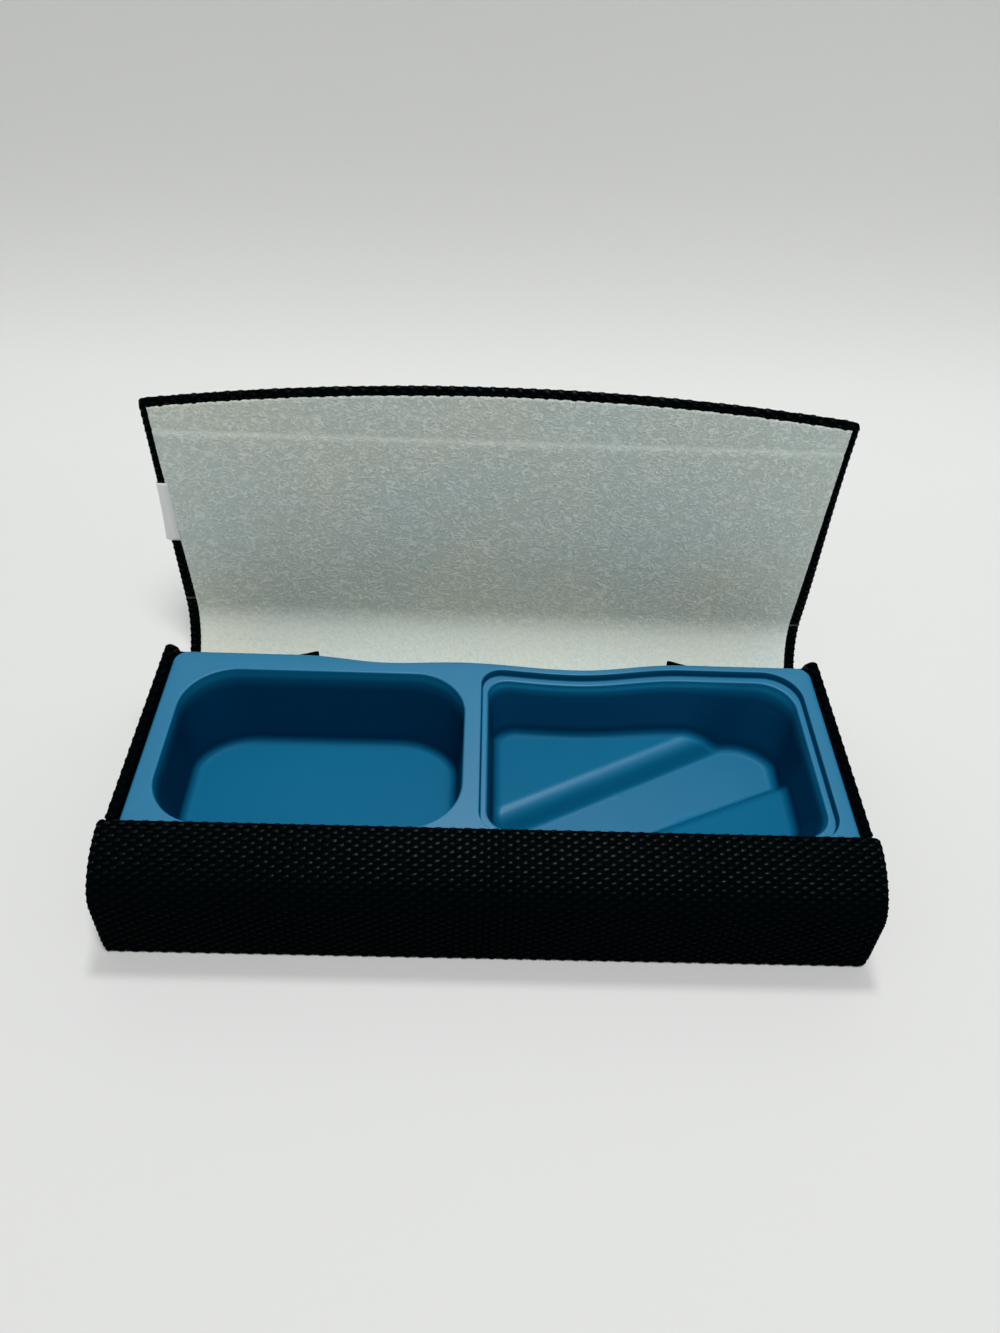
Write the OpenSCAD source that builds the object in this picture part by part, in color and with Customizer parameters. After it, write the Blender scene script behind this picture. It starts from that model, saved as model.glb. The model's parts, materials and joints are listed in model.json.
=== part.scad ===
// Folding travel case for a pair of hearing aids: a woven cover wrapped round thin boards, rolled up into a
// front wall and folded up behind as a back strip, lid and magnetic flap, with a moulded tray inside.
// +X runs along the case, -Y is the rolled front, +Z is up. The origin is under the middle of the open case.

/* [Wrap] */
// Width of the base across the wrapped ends
case_w = 145; // [120:1:170]
// How far the lid and back strip stop short of the base at each end; below zero they stand past it
lid_inset = -0.4; // [-1:0.1:2]
// Thickness of the woven cover
cover_t = 0.5; // [0.4:0.05:0.8]
// Thickness of the boards in the base, back strip, lid and flap
board_t = 0.9; // [0.7:0.1:1.5]
// Thickness of the suede lining
lining_t = 0.4; // [0.3:0.05:0.6]
// Width of the cover that is turned over round the lining
border = 1.7; // [1:0.1:4]

/* [Rolled front] */
// Outer radius of the rolled front wall
front_r = 16.3; // [14:0.1:19]
// Height of the top of the roll above the table
lip_h = 22.4; // [20:0.1:24]
// How far the roll runs on past its highest line
lip_run = 0.6; // [0.3:0.1:2]
// From the middle of the roll back to the first fold
floor_len = 51.2; // [46:0.1:60]

/* [Lid] */
// Angle that the back strip turns through when the case closes
back_turn = 53.6; // [50:0.1:60]
// Room between the roll and the closed lid
lid_clear = 0.5; // [0.3:0.1:1]
// Length of the stiff part of the lid, from fold to fold
lid_len = 45.6; // [42:0.1:60]
// Length of the flap at its ends
flap_end = 6.8; // [4:0.1:10]
// How far the flap's edge bows out in the middle
lid_bow = 5.1; // [3:0.1:9]
// Radius of the flap's corners
corner_r = 1.5; // [1:0.1:3]
// Room between the cover and each fold's axis
fold_clear = 0.2; // [0.15:0.05:0.3]
// Room between a board or lining and each fold's axis
fold_gap = 1.2; // [1:0.1:1.8]

/* [End panels] */
// Thickness of an end panel with its cover
end_t = 2.2; // [1.8:0.1:3]
// How far each end panel stands inside the end of the wrap
end_inset = 0.5; // [0.3:0.1:1.5]
// How far the end panels stay below the top of the roll
panel_drop = 0.1; // [0:0.1:1]
// Radius of the rounded upper rear tip
tip_r = 2; // [1:0.1:3]
// Room between an end panel and the rolled front
seat_clear = 0.1; // [0.05:0.05:0.3]
// Room between an end panel and the lip's edge
lip_gap = 0.3; // [0.2:0.1:0.8]
// Room between an end panel and the closed back strip
rear_clear = 0.45; // [0.3:0.05:1]
// Length of the glued flap that runs in behind the tray
glue_flap_w = 30.8; // [20:0.1:40]
// Thickness of the glued flap
glue_flap_t = 0.5; // [0.4:0.1:0.9]
// How far the glued flap stands above the tray
glue_flap_rise = 0.2; // [0.1:0.05:1]

/* [Tray] */
// Wall of the moulded tray
tray_t = 1.1; // [0.9:0.1:1.4]
// Room between the tray and the end panels
tray_gap = 0.4; // [0.3:0.1:1]
// Room between the tray and the glued flaps
rear_gap = 1.2; // [0.2:0.1:1.6]
// Room between the tray and the underside of the lip
tuck_clear = 0.35; // [0.3:0.05:0.6]
// How far the tray is tucked in under the lip
tuck = 2; // [1:0.1:2.2]
// Radius of the tray's outer corners
tray_corner_r = 3; // [2:0.1:4]
// Middle of the bar between the two pockets
bar_x = -4.2; // [-20:0.1:20]
// Half the width of that bar
bar_half = 1.5; // [1.4:0.1:4]
// Flange at the left pocket's end
left_flange_end = 3.1; // [2.5:0.1:6]
// Flange behind the left pocket
left_flange_rear = 4.8; // [4:0.1:7]
// Flange in front of the left pocket
left_flange_front = 3.0; // [2.5:0.1:6]
// Corner radius of the left pocket
left_r = 11.5; // [7:0.5:14]
// Rounding of the left pocket's rim
left_rim_r = 0.6; // [0.5:0.1:2]
// Rounding of the left pocket's floor
left_floor_r = 1.8; // [1.5:0.1:4]
// Flange at the end of the right pocket's ledge
right_flange_end = 3.2; // [2.5:0.1:6]
// Flange behind the right pocket's ledge
right_flange_rear = 1.6; // [1.4:0.1:6]
// Flange in front of the right pocket's ledge
right_flange_front = 2.8; // [2.5:0.1:6]
// Width of the ledge at the right pocket's sides
ledge_side = 1.2; // [1:0.1:3]
// Width of the ledge behind the right pocket
ledge_rear = 2.1; // [1.3:0.1:6]
// Width of the ledge in front of the right pocket
ledge_front = 1.4; // [1.3:0.1:4]
// Depth of the ledge below the flange
ledge_d = 1; // [0.6:0.1:1.5]
// Corner radius of the right pocket
right_r = 6; // [5:0.5:8]
// Rounding of the right pocket's rim
right_rim_r = 0.6; // [0.5:0.1:1.5]
// Rounding of the right pocket's floor
right_floor_r = 2; // [1:0.1:2.5]
// How far each pocket wall leans in towards its floor
draft = 1.2; // [0.5:0.1:2]
// How much more the rear wall of each pocket leans in
rear_lean = 2.2; // [1:0.1:3]
// Direction of the trough across the right pocket's floor
trough_turn = 27; // [15:1:40]
// Width of the trough from crest to crest
trough_w = 19; // [14:0.5:22]
// Height of the trough's bottom above the lining
trough_z = 2.1; // [1.5:0.1:4]
// Height of the rear land above the lining
rear_land_z = 7.1; // [5:0.1:9]
// Height of the front land above the lining
front_land_z = 6.8; // [5:0.1:10]
// Share of the trough's width that is flat
trough_flat = 0.35; // [0.1:0.05:0.6]
// Where the trough's rear crest meets the bar, from the tray's front edge
crest_front = 15; // [8:0.5:20]
// Run of the trough's rounded ends
trough_end = 6; // [4:0.5:9]

/* [Closure and tag] */
// Diameter of each magnet in the flap
magnet_d = 7; // [5:0.1:8]
// Room round each magnet
magnet_clear = 0.1; // [0.05:0.05:0.3]
// From the middle of the case to each magnet
magnet_x = 25; // [15:1:30]
// From the flap's fold to each magnet's middle
magnet_up = 5; // [4:0.1:6]
// Length of each steel catch plate in the rolled front
catch_w = 16; // [8:1:30]
// Thickness of the catch plates
catch_t = 0.5; // [0.3:0.1:0.7]
// From the roll's highest line round to each catch plate
catch_from = 2.5; // [1.5:0.1:6]
// Height of each catch plate, measured round the roll
catch_h = 7.2; // [4:0.1:10]
// From the lid's fold up to the edge tag
tag_low = 17.5; // [8:0.5:26]
// Height of the edge tag
tag_h = 14.5; // [8:0.5:20]
// Thickness of the tag's ribbon
tag_t = 0.25; // [0.15:0.05:0.3]

/* [Hidden] */
$fn = 96;
cover_color = "#1d1d1f";
board_color = "#8a7f6a";
lining_color = "#a8b0aa";
tray_color = "#2a6f9c";
steel_color = "#9aa0a6";
tag_color = "#f2f2ee";
past = 1; // how far a cut runs on past what it opens

sheet_t = cover_t + board_t + lining_t;
board_in = cover_t + board_t; // depth of the board's inner face in the wrap
lid_w = case_w - 2 * lid_inset;

// The closed lid's height sets how long the back strip is: its two folds then meet above the end panels.
lid_rest_z = lip_h + lid_clear;
rise = lid_rest_z + sheet_t - cover_t;
fold_r = rise / cos(back_turn - 45) / sqrt(2);
back_r = fold_r + cover_t / 2;

depth = front_r + floor_len + back_r;
front_y = -depth / 2;
roll_y = front_y + front_r;
roll_z = lip_h - front_r;
lip_y = roll_y + lip_run;
catch_r = front_r - cover_t; // outer face of the catch plates
hinge_y = roll_y + floor_len;
lid_y = hinge_y + back_r; // the lid's outer face
lid_z = back_r; // fold between back strip and lid
flap_z = lid_z + lid_len; // fold between lid and flap
bow_r = (pow(lid_w / 2, 2) + pow(lid_bow, 2)) / (2 * lid_bow);
flap_top_z = flap_z + flap_end + lid_bow;

// Middle and inner radius of the back strip's arc when the case is closed
strip_y = hinge_y - fold_r * sin(back_turn);
strip_z = cover_t / 2 + fold_r * cos(back_turn);
strip_r = back_r - sheet_t;
end_r = strip_r - rear_clear;
end_x = case_w / 2 - end_inset; // outer face of an end panel
end_in_x = end_x - end_t;
panel_top = lip_h - panel_drop;

tray_z = lip_h - sheet_t - tuck_clear;
glue_flap_z = tray_z + glue_flap_rise;
glue_flap_y = strip_y + sqrt(pow(end_r, 2) - pow(glue_flap_z - strip_z, 2)) - glue_flap_t;
tray_x = end_in_x - tray_gap;
tray_front = roll_y - tuck;
tray_rear = glue_flap_y - rear_gap;

function arc(middle, r, from, to, steps) =
    [for (i = [0 : steps]) let (a = from + (to - from) * i / steps) middle + r * [cos(a), sin(a)]];

// A section drawn in Y and Z, run along X about the middle of the case
module run(width) rotate([90, 0, 90]) linear_extrude(width, center = true) children();

// Base wrap: one layer of the floor and rolled front, between two depths from the outside

module base_layer(outer, inner, lip_back, rear_back)
    difference() {
        union() {
            intersection() {
                translate([roll_y, roll_z]) circle(front_r - outer);
                translate([front_y, outer]) square([front_r + lip_run - lip_back, lip_h]);
            }
            translate([roll_y - front_r / 2, outer])
                square([front_r / 2 + floor_len - rear_back, inner - outer]);
        }
        intersection() {
            translate([roll_y, roll_z]) circle(front_r - inner);
            translate([front_y, inner]) square([2 * front_r, lip_h]);
        }
    }

module base_fold_cut()
    translate([-case_w, hinge_y - fold_gap, cover_t]) cube([2 * case_w, fold_gap + past, sheet_t]);

module base_cover() color(cover_color)
    difference() {
        run(case_w) base_layer(0, sheet_t, 0, fold_clear);
        run(case_w - 2 * cover_t) base_layer(cover_t, board_in, cover_t, 0);
        run(case_w - 2 * border) base_layer(board_in, sheet_t + past, border, 0);
        base_fold_cut();
    }

module base_board() color(board_color)
    difference() {
        run(case_w - 2 * cover_t) base_layer(cover_t, board_in, cover_t, fold_gap);
        catch_pair(past);
    }

module base_lining() color(lining_color)
    run(case_w - 2 * border) base_layer(board_in, sheet_t, border, fold_gap);

// The plates lie under the cover, so their recesses in the board run on past its outer face
module catch_pair(over)
    for (side = [-1, 1]) translate([side * magnet_x, 0, 0]) run(catch_w)
        translate([roll_y, roll_z]) intersection() {
            difference() {
                circle(catch_r + over);
                circle(catch_r - catch_t);
            }
            polygon([[0, 0], for (s = [catch_from, catch_from + catch_h])
                let (a = s / catch_r * 180 / PI) 2 * front_r * [-sin(a), cos(a)]]);
        }

module catch_plates() color(steel_color) catch_pair(0);

// End panels: a stiff board in a cover sleeve, with a glued flap turned in behind the tray

function end_outline(inset, low) =
    let (
        r_front = front_r - sheet_t - seat_clear - inset,
        y_front = lip_y + lip_gap + inset,
        r_rear = end_r - inset,
        r_tip = max(tip_r - inset, 0.3),
        tip_z = panel_top - inset - r_tip,
        tip_y = strip_y + sqrt(pow(r_rear - r_tip, 2) - pow(tip_z - strip_z, 2)),
        tip_a = atan2(tip_z - strip_z, tip_y - strip_y)
    )
    concat(
        arc([roll_y, roll_z], r_front, 180 + asin((roll_z - low) / r_front), acos((y_front - roll_y) / r_front), 20),
        [[y_front, panel_top - inset]],
        arc([tip_y, tip_z], r_tip, 90, tip_a, 5),
        arc([strip_y, strip_z], r_rear, tip_a - 4, asin((low - strip_z) / r_rear), 14)
    );

module end_plate(inset, low, face, thick)
    translate([face, 0, 0]) rotate([90, 0, 90]) linear_extrude(thick) polygon(end_outline(inset, low));

module end_board() color(board_color)
    end_plate(cover_t, sheet_t, end_in_x + cover_t, end_t - 2 * cover_t);

module end_cover() color(cover_color)
    difference() {
        union() {
            end_plate(0, sheet_t, end_in_x, end_t);
            translate([end_in_x - glue_flap_w, glue_flap_y, sheet_t])
                cube([glue_flap_w + cover_t / 2, glue_flap_t, glue_flap_z - sheet_t]);
        }
        end_plate(cover_t, sheet_t - past, end_in_x + cover_t, end_t - 2 * cover_t);
    }

module left_end_board() mirror([1, 0, 0]) end_board();
module right_end_board() end_board();
module left_end_cover() mirror([1, 0, 0]) end_cover();
module right_end_cover() end_cover();

// Back strip: a quarter roll from the base's fold up to the lid's fold

module back_layer(outer, inner, gap)
    translate([hinge_y, back_r]) intersection() {
        difference() {
            circle(back_r - outer);
            circle(back_r - inner);
        }
        translate([gap, -back_r]) square(back_r - gap);
    }

module back_fold_cut()
    intersection() {
        back_layer(cover_t, sheet_t + past, -past);
        translate([hinge_y, back_r]) {
            translate([-past, -back_r]) square([past + fold_gap, back_r / 2]);
            translate([back_r / 2, -fold_gap]) square([back_r / 2, fold_gap + past]);
        }
    }

module back_cover() color(cover_color)
    difference() {
        run(lid_w) back_layer(0, sheet_t, fold_clear);
        run(lid_w - 2 * cover_t) back_layer(cover_t, board_in, -past);
        run(lid_w - 2 * border) back_layer(board_in, sheet_t + past, -past);
        run(lid_w + past) back_fold_cut();
    }

module back_board() color(board_color)
    run(lid_w - 2 * cover_t) back_layer(cover_t, board_in, fold_gap);

module back_lining() color(lining_color)
    run(lid_w - 2 * border) back_layer(board_in, sheet_t, fold_gap);

// Lid: a flat panel between its two folds

module lid_layer(outer, inner, side, low, high)
    translate([side - lid_w / 2, lid_y - inner, lid_z + low])
        cube([lid_w - 2 * side, inner - outer, lid_len - low - high]);

module lid_cover() color(cover_color)
    difference() {
        lid_layer(0, sheet_t, 0, fold_clear, fold_clear);
        lid_layer(cover_t, board_in, cover_t, -past, -past);
        lid_layer(board_in, sheet_t + past, border, -past, -past);
        lid_layer(cover_t, sheet_t + past, -past, -past, lid_len - fold_gap);
        lid_layer(cover_t, sheet_t + past, -past, lid_len - fold_gap, -past);
    }

module lid_board() color(board_color) lid_layer(cover_t, board_in, cover_t, fold_gap, fold_gap);

module lid_lining() color(lining_color) lid_layer(board_in, sheet_t, border, fold_gap, fold_gap);

// A folded ribbon round the lid's left edge, as wide on each face as the turned border
module edge_tag() color(tag_color)
    difference() {
        translate([-lid_w / 2 - tag_t, lid_y - sheet_t - tag_t, lid_z + tag_low])
            cube([border + tag_t, sheet_t + 2 * tag_t, tag_h]);
        translate([-lid_w / 2, lid_y - sheet_t, lid_z + tag_low - past])
            cube([border + past, sheet_t, tag_h + 2 * past]);
    }

// Flap: the strip past the last fold, with a bowed edge

function flap_outline(side, low) =
    let (
        half = lid_w / 2 - side,
        r_bow = bow_r - side,
        r = max(corner_r - side, 0.3),
        bow_z = flap_top_z - bow_r,
        corner_z = bow_z + sqrt(pow(r_bow - r, 2) - pow(half - r, 2)),
        turn = atan2(corner_z - bow_z, half - r)
    )
    concat(
        [[-half, flap_z + low], [half, flap_z + low]],
        arc([half - r, corner_z], r, 0, turn, 5),
        arc([0, bow_z], r_bow, turn + 0.5, 179.5 - turn, 24),
        arc([r - half, corner_z], r, 180 - turn, 180, 5)
    );

module flap_layer(outer, inner, side, low)
    translate([0, lid_y - outer, 0]) rotate([90, 0, 0])
        linear_extrude(inner - outer) polygon(flap_outline(side, low));

module magnet_pair(d)
    for (side = [-1, 1]) translate([side * magnet_x, lid_y - cover_t, flap_z + magnet_up])
        rotate([90, 0, 0]) cylinder(d = d, h = board_t);

module flap_cover() color(cover_color)
    difference() {
        flap_layer(0, sheet_t, 0, fold_clear);
        flap_layer(cover_t, board_in, cover_t, -past);
        flap_layer(board_in, sheet_t + past, border, -past);
        translate([-case_w, lid_y - sheet_t - past, flap_z - past])
            cube([2 * case_w, sheet_t + past - cover_t, fold_gap + past]);
    }

module flap_board() color(board_color)
    difference() {
        flap_layer(cover_t, board_in, cover_t, fold_gap);
        magnet_pair(magnet_d + 2 * magnet_clear);
    }

module flap_lining() color(lining_color) flap_layer(board_in, sheet_t, border, fold_gap);

module flap_magnets() color(steel_color) magnet_pair(magnet_d);

// Tray: each pocket and its share of the flange is lofted through rings of points, over and back underneath

corner_steps = 6;
side_steps = [13, 9, 13, 9]; // points along the rear, left, front and right sides
ring_size = 4 * (corner_steps + 1) + 2 * (side_steps[0] + side_steps[1]);
rim_turns = [0, 30, 60, 90];
floor_turns = [0, 30, 60, 90];
floor_rings = 9; // rings from the edge of the right pocket's floor in to the trough's middle line
slit = 0.95; // where the last of them stops short of that line
middle_y = (tray_front + tray_rear) / 2;
step_lean = 0.3; // lean of the small step down to the ledge

// The rear edge is drawn in by this much: two shallow finger dips, eased from one to the next
dips = [[-42, 0], [-23, 1.7], [-7, 1], [18, 2.5], [42, 0]];

function eased(t) = (1 - cos(180 * min(max(t, 0), 1))) / 2;
function dip(x, i = 0) =
    x <= dips[0][0] || x >= dips[len(dips) - 1][0] ? 0 :
    x > dips[i + 1][0] ? dip(x, i + 1) :
    dips[i][1] + (dips[i + 1][1] - dips[i][1]) * eased((x - dips[i][0]) / (dips[i + 1][0] - dips[i][0]));
function drawn_in(ring) =
    [for (p = ring) [p[0], p[1] - dip(p[0]) * eased((p[1] - middle_y) / (tray_rear - middle_y))]];

// A box is [left, front, right, rear]. Square corners follow the corner itself, so two boxes meet flush.
function inside(box, d) = [box[0] + d, box[1] + d, box[2] - d, box[3] - d];
function corner(middle, r, quarter, square) =
    [for (i = [0 : corner_steps]) let (a = 90 * (quarter + i / corner_steps))
        middle + r * [cos(a), sin(a)] / (square ? max(abs(cos(a)), abs(sin(a))) : 1)];
function ring(box, r, square = [false, false, false, false]) =
    let (
        corners = [
            corner([box[2] - r, box[3] - r], r, 0, square[0]),
            corner([box[0] + r, box[3] - r], r, 1, square[1]),
            corner([box[0] + r, box[1] + r], r, 2, square[2]),
            corner([box[2] - r, box[1] + r], r, 3, square[3])
        ]
    )
    [for (k = [0 : 3]) each concat(
        corners[k],
        [for (i = [1 : side_steps[k]])
            let (p = corners[k][corner_steps], q = corners[(k + 1) % 4][0])
            p + (q - p) * i / (side_steps[k] + 1)]
    )];
function at(points, z) = [for (p = points) [p[0], p[1], z]];

// Floor of the right pocket: two lands with a rounded trough running across between them
trough_from = [bar_x + bar_half + ledge_side, tray_front + crest_front];
trough_along = [cos(trough_turn), sin(trough_turn)];
trough_across = [sin(trough_turn), -cos(trough_turn)];
trough_mid = trough_from + trough_across * trough_w / 2;
function across(p) = (p - trough_from) * trough_across;
function right_floor(p) =
    let (s = across(p), t = 2 * s / trough_w - 1)
    sheet_t + (
        s <= 0 ? rear_land_z :
        s >= trough_w ? front_land_z :
        trough_z + ((t < 0 ? rear_land_z : front_land_z) - trough_z) *
            eased((abs(t) - trough_flat) / (1 - trough_flat))
    );

// Points of the floor run from its edge straight in to the trough's middle line
function trough_foot(p, box) =
    let (
        from = (box[1] - trough_mid[1]) / sin(trough_turn) + trough_end,
        to = (box[2] - trough_mid[0]) / cos(trough_turn) - trough_end
    )
    trough_mid + trough_along * min(max((p - trough_mid) * trough_along, from), to);
function left_floor(p) = sheet_t + tray_t;
function floor_at(right, p) = right ? right_floor(p) : left_floor(p);

// Rings from a pocket's rim to the middle of its floor, on the inside or, grown by the wall, underneath
function floor_edge(box, r, rim_r, floor_r, right) =
    let (in = rim_r + draft + floor_r, points = leaned(ring(inside(box, in), r - in), box, 1))
    right ? drawn_in(points) : points;
function leaned(points, box, share) =
    let (middle = (box[1] + box[3]) / 2)
    [for (p = points) [p[0], p[1] - rear_lean * share * eased((p[1] - middle) / (box[3] - middle))]];
function pocket_ring(box, r, inset, right, rise, share = 0) =
    let (
        points = leaned(ring(inside(box, inset), r - inset), box, share),
        shaped = right ? drawn_in(points) : points
    )
    [for (i = [0 : ring_size - 1]) [shaped[i][0], shaped[i][1], rise[i]]];
function pocket_rings(box, r, rim_r, floor_r, top_z, right, wall) =
    let (
        edge = floor_edge(box, r, rim_r, floor_r, right),
        floor_box = inside(box, rim_r + draft + floor_r),
        rim = wall > 0 ? [pocket_ring(box, r, rim_r - wall, right, [for (p = edge) top_z - wall])] :
            [for (a = rim_turns) pocket_ring(box, r, rim_r * sin(a), right,
                [for (p = edge) top_z - rim_r * (1 - cos(a))])],
        foot = [for (a = floor_turns) pocket_ring(box, r, rim_r + draft + floor_r - (floor_r + wall) * cos(a), right,
            [for (p = edge) floor_at(right, p) + floor_r - (floor_r + wall) * sin(a)], 1)],
        floor = [for (i = [1 : floor_rings]) [for (p = edge)
            let (q = p + (trough_foot(p, floor_box) - p) * slit * i / floor_rings)
                [q[0], q[1], right_floor(q) - wall]]]
    )
    concat(rim, foot, right ? floor : []);

// A closed shell between two stacks of rings: the upper one ends in a middle point, and so does the lower
module shell(upper, lower) {
    n = ring_size;
    top_n = len(upper);
    low_n = len(lower);
    last = [upper[top_n - 1], lower[low_n - 1]];
    middles = [for (stack = last) [for (k = [0 : 2]) [for (p = stack) p[k]] * [for (p = stack) 1] / n]];
    count = (top_n + low_n) * n;
    function v(r, j) = r * n + j % n;
    polyhedron(
        points = concat([for (r = upper) each r], [for (r = lower) each r], middles),
        faces = concat(
            [for (r = [0 : top_n - 2], j = [0 : n - 1]) each [
                [v(r, j), v(r + 1, j), v(r + 1, j + 1)], [v(r, j), v(r + 1, j + 1), v(r, j + 1)]]],
            [for (j = [0 : n - 1]) [v(top_n - 1, j), count, v(top_n - 1, j + 1)]],
            [for (r = [top_n : top_n + low_n - 2], j = [0 : n - 1]) each [
                [v(r, j), v(r + 1, j + 1), v(r + 1, j)], [v(r, j), v(r, j + 1), v(r + 1, j + 1)]]],
            [for (j = [0 : n - 1]) [v(top_n + low_n - 1, j), v(top_n + low_n - 1, j + 1), count + 1]],
            [for (j = [0 : n - 1]) each [
                [v(0, j), v(0, j + 1), v(top_n, j + 1)], [v(0, j), v(top_n, j + 1), v(top_n, j)]]]
        )
    );
}

left_cell = [-tray_x, tray_front, bar_x, tray_rear];
right_cell = [bar_x, tray_front, tray_x, tray_rear];
left_pocket = [
    -tray_x + left_flange_end, tray_front + left_flange_front,
    bar_x - bar_half, tray_rear - left_flange_rear
];
ledge_box = [
    bar_x + bar_half, tray_front + right_flange_front,
    tray_x - right_flange_end, tray_rear - right_flange_rear
];
right_pocket = [
    ledge_box[0] + ledge_side, ledge_box[1] + ledge_front,
    ledge_box[2] - ledge_side, ledge_box[3] - ledge_rear
];

module left_half() {
    edge = drawn_in(ring(left_cell, tray_corner_r, [true, false, false, true]));
    shell(
        concat([at(edge, tray_z)], pocket_rings(left_pocket, left_r, left_rim_r, left_floor_r, tray_z, false, 0)),
        concat([at(edge, tray_z - tray_t)],
            pocket_rings(left_pocket, left_r, left_rim_r, left_floor_r, tray_z, false, tray_t))
    );
}

module right_half() {
    edge = drawn_in(ring(right_cell, tray_corner_r, [false, true, true, false]));
    ledge_z = tray_z - ledge_d;
    function step(d) = drawn_in(ring(inside(ledge_box, d), right_r - d));
    shell(
        concat(
            [at(edge, tray_z), at(step(0), tray_z), at(step(step_lean), ledge_z)],
            pocket_rings(right_pocket, right_r, right_rim_r, right_floor_r, ledge_z, true, 0)
        ),
        concat(
            [at(edge, tray_z - tray_t), at(step(-tray_t), tray_z - tray_t),
                at(step(step_lean - tray_t), ledge_z - tray_t)],
            pocket_rings(right_pocket, right_r, right_rim_r, right_floor_r, ledge_z, true, tray_t)
        )
    );
}

module tray() color(tray_color) {
    left_half();
    right_half();
}

base_cover();
base_board();
base_lining();
catch_plates();
left_end_board();
right_end_board();
left_end_cover();
right_end_cover();
tray();
back_cover();
back_board();
back_lining();
lid_cover();
lid_board();
lid_lining();
edge_tag();
flap_cover();
flap_board();
flap_lining();
flap_magnets();
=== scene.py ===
import json
import math
import bmesh
import bpy
from mathutils import Matrix, Vector, noise


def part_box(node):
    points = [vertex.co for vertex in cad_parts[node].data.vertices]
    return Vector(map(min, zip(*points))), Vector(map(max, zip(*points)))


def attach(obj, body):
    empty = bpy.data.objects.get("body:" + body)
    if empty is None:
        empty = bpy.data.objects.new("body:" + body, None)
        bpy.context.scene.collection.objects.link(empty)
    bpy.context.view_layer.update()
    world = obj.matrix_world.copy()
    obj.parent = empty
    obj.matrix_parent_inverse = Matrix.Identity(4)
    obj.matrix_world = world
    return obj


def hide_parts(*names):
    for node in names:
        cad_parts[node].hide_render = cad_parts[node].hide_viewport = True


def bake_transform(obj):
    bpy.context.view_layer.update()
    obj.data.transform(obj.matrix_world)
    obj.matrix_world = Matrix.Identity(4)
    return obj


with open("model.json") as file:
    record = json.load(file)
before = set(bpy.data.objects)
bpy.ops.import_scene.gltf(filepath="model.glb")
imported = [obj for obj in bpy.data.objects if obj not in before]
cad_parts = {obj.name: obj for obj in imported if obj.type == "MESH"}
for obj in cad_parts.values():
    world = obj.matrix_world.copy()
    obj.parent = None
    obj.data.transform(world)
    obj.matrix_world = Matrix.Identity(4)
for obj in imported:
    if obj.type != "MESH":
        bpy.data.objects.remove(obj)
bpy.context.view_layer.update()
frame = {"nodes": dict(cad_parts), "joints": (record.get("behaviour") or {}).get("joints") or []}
mm = 0.001
print("frame loaded:", len(frame["nodes"]), "nodes")

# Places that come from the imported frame
jointAt = {joint["name"]: Vector(joint["pos_m"]) for joint in frame["joints"]}
baseLow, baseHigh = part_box("base_cover")
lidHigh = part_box("lid_cover")[1]
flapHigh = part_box("flap_cover")[1]
trayLow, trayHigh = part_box("tray")
endLow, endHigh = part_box("right_end_cover")
tagLow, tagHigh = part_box("edge_tag")

wrap = {  # the sheet that is wrapped round the case, in section
    "frontRadius": 16.3 * mm,
    "lipRun": 0.6 * mm,  # how far the roll runs on past its highest line
    "frontBend": 7.4 * mm,  # the roll turns down more tightly into a flat front
    "bendFrom": 45,
    "faceLean": 4,
    "toeRound": 0.8 * mm,  # where the roll turns under to the floor
    "thickness": 1.8 * mm,  # cover, board and lining together
    "hem": 3.6 * mm,  # cover turned over behind the edge, under the lining
    "border": 1.7 * mm,  # how much of the hem shows beside the lining
    "foldBorder": 1.0 * mm,  # and how much more of it beside the folds
    "borderEase": 4 * mm,
    "cornerRound": 1.3 * mm,
    "flapBow": 5.1 * mm,
    "nicks": (0.8 * mm, -2.5 * mm),  # from the upper fold, on the left and on the right
    "nickWidth": 0.15 * mm,
    "foldShift": 0.5 * mm,  # the folds stand a little to the right of the base
    "foldWide": 0.5 * mm,
    "foldEase": 8 * mm,
    "widthEase": 2 * mm,
    "rollOver": 0.6 * mm,  # the cloth bulges past the boards at the roll's ends
    "toeTuck": 0.4 * mm,  # how far the ends draw in towards the toe
    "tuckRun": 4 * mm,
    "tuckEase": (6 * mm, 26 * mm),  # where the floor runs out to its full width again
    "lipFade": 8 * mm,
    "edgeSteps": 6,
    "merge": 0.004 * mm,
}
weave = {  # plain weave of thick black yarn
    "acrossPitch": 1.35 * mm,
    "alongPitch": 0.855 * mm,
    "depth": 0.24 * mm,
    "perCell": 4,
    "coarsePerCell": 2,  # under the floor
    "sag": 0.42,  # height of a yarn where it dives under the next
    "flatness": 0.92,
    "warpShare": 0.5,  # the yarns that run round the case lie lower
    "twist": 0.4,  # slant of the fibres in a yarn
    "matt": 0.08,  # gloss where the cloth faces away from the lamp; the painted glint mask keeps it low there
    "paintedGlint": (0.68, 0.87),  # how far up towards the lamp the cloth has to face to take the painted glints
    # backGloss and sleeveGloss are values of the painted glint mask: from the back strip up over the lid,
    # and on the end sleeves and their flaps
    "backGloss": 0.8,
    "sleeveGloss": 0.15,
}

rollY = baseLow.y + wrap["frontRadius"]
rollZ = baseHigh.z - wrap["frontRadius"]
lipY = rollY + wrap["lipRun"]
hingeY = jointAt["back_hinge"].y
lidY = lidHigh.y
lidZ = jointAt["lid_hinge"].z
flapZ = jointAt["flap_bend"].z
backRadius = lidY - hingeY
baseHalf = baseHigh.x
lidHalf = lidHigh.x
halfSheet = wrap["thickness"] / 2


# Section of the wrap's outer face in Y and Z, from the lip round the front, under and up to the flap
def arcPiece(centre, radius, start, stop):
    return {"centre": centre, "radius": radius, "start": start, "length": radius * (stop - start)}


def linePiece(start, stop):
    reach = Vector(stop) - Vector(start)
    return {"from": Vector(start), "along": reach.normalized(), "length": reach.length}


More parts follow.
